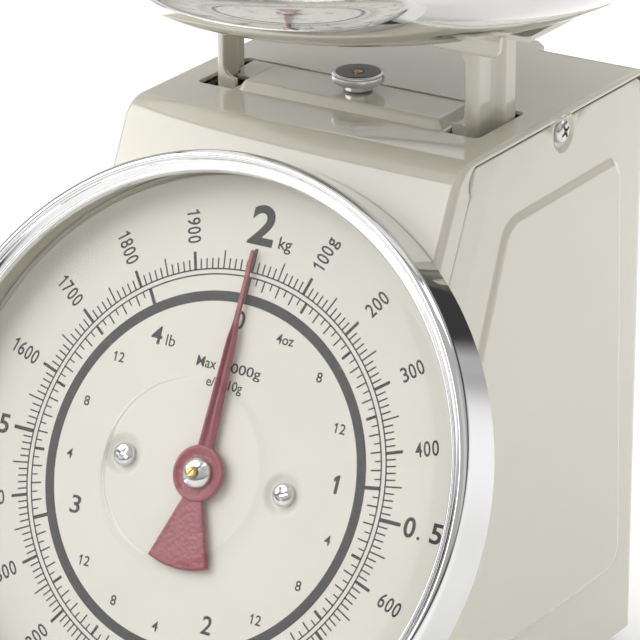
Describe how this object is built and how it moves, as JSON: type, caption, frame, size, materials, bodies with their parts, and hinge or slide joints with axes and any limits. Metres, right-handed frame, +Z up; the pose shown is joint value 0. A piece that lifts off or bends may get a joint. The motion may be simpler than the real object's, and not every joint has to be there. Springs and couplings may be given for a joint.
{
  "type": "kitchen scale",
  "caption": "Mechanical kitchen scale: sloped round dial with a turning pointer, sprung load platform, zero knob and a lift-off polished bowl.",
  "frame": {"origin": "centre of the bounding box in X and Y, on the plane the feet stand on", "axes": "+Z up, -Y towards the front (the dial side), +X to the right seen from the front"},
  "size_m": [0.2238, 0.244, 0.2672],
  "materials": {
    "cream_paint": "gloss cream enamel on steel sheet",
    "dial_print": "satin cream dial with black print",
    "chrome": "polished chrome",
    "polished_steel": "mirror-polished stainless steel",
    "zinc_steel": "zinc-plated steel",
    "steel": "plain steel",
    "spring_steel": "drawn spring wire",
    "brass": "turned brass",
    "red_paint": "red wrinkle paint",
    "rubber": "moulded rubber",
    "clear": "clear moulded window"
  },
  "bodies": {
    "housing": {"front_shell": "cream_paint", "rear_cover": "cream_paint", "side_screw_left": "zinc_steel", "side_screw_right": "zinc_steel", "base_plate": "zinc_steel", "foot_front_left": "rubber", "foot_front_right": "rubber", "foot_rear_left": "rubber", "foot_rear_right": "rubber", "foot_screw_front_left": "zinc_steel", "foot_screw_front_right": "zinc_steel", "foot_screw_rear_left": "zinc_steel", "foot_screw_rear_right": "zinc_steel", "frame_left": "zinc_steel", "frame_right": "zinc_steel", "chassis_plate": "zinc_steel", "movement_bridge": "zinc_steel", "front_bush": "brass", "rear_bush": "brass", "lower_pivot_rod": "steel", "upper_pivot_rod": "steel", "dial_pan": "cream_paint", "dial_plate": "dial_print", "dial_screw_left": "zinc_steel", "dial_screw_right": "zinc_steel", "dial_spacer_left": "zinc_steel", "dial_spacer_right": "zinc_steel", "lens": "clear", "bezel": "chrome", "zero_plate": "cream_paint", "zero_plate_bracket": "zinc_steel", "load_spring_left": "spring_steel", "load_spring_right": "spring_steel"},
    "load_frame": {"post_left": "cream_paint", "post_right": "cream_paint", "lower_crossbar": "zinc_steel", "rack_arm": "zinc_steel", "platform": "cream_paint", "rack": "steel"},
    "bowl": {"bowl": "polished_steel"},
    "pointer": {"pointer": "red_paint", "dome_screw": "steel", "pointer_shaft": "brass", "pinion": "brass"},
    "knob": {"zero_knob": "steel"},
    "adjuster": {"zero_screw": "brass", "spring_hanger": "zinc_steel"},
    "lower_link": {"lower_link": "zinc_steel"},
    "upper_link": {"upper_link": "zinc_steel"}
  },
  "joints": [
    {"name": "platform_travel", "type": "slide", "parent": "housing", "child": "load_frame", "axis": [0, 0, -1], "range_m": [0, 0.01508], "stiffness_N_per_m": 1300, "springref_m": -0.0048, "deforming": ["load_spring_left", "load_spring_right"]},
    {"name": "pointer_turn", "type": "hinge", "parent": "housing", "child": "pointer", "pos_m": [0, -0.0717, 0.096], "axis": [0, -0.8988, 0.4384], "range_deg": [-360, 0]},
    {"name": "lower_link_swing", "type": "hinge", "parent": "housing", "child": "lower_link", "pos_m": [0, 0.0603, 0.056], "axis": [1, 0, 0], "range_deg": [0, 17.2]},
    {"name": "upper_link_swing", "type": "hinge", "parent": "housing", "child": "upper_link", "pos_m": [0, 0.0603, 0.128], "axis": [1, 0, 0], "range_deg": [0, 17.2]},
    {"name": "bowl_lift", "type": "slide", "parent": "load_frame", "child": "bowl", "axis": [0, 0, 1], "range_m": [0, 0.08]},
    {"name": "knob_turn", "type": "hinge", "parent": "housing", "child": "knob", "pos_m": [0, 0.0071, 0.1845], "axis": [0, 0, 1], "range_deg": [-360, 360]},
    {"name": "screw_travel", "type": "slide", "parent": "housing", "child": "adjuster", "axis": [0, 0, 1], "range_m": [-0.0007, 0.0007]}
  ],
  "couplings": [
    {"joint": "pointer_turn", "follows": "platform_travel", "rad_per_m": -416.66},
    {"joint": "lower_link_swing", "follows": "platform_travel", "rad_per_m": 19.907},
    {"joint": "upper_link_swing", "follows": "platform_travel", "rad_per_m": 19.907},
    {"joint": "knob_turn", "follows": "screw_travel", "rad_per_m": 8976}
  ]
}
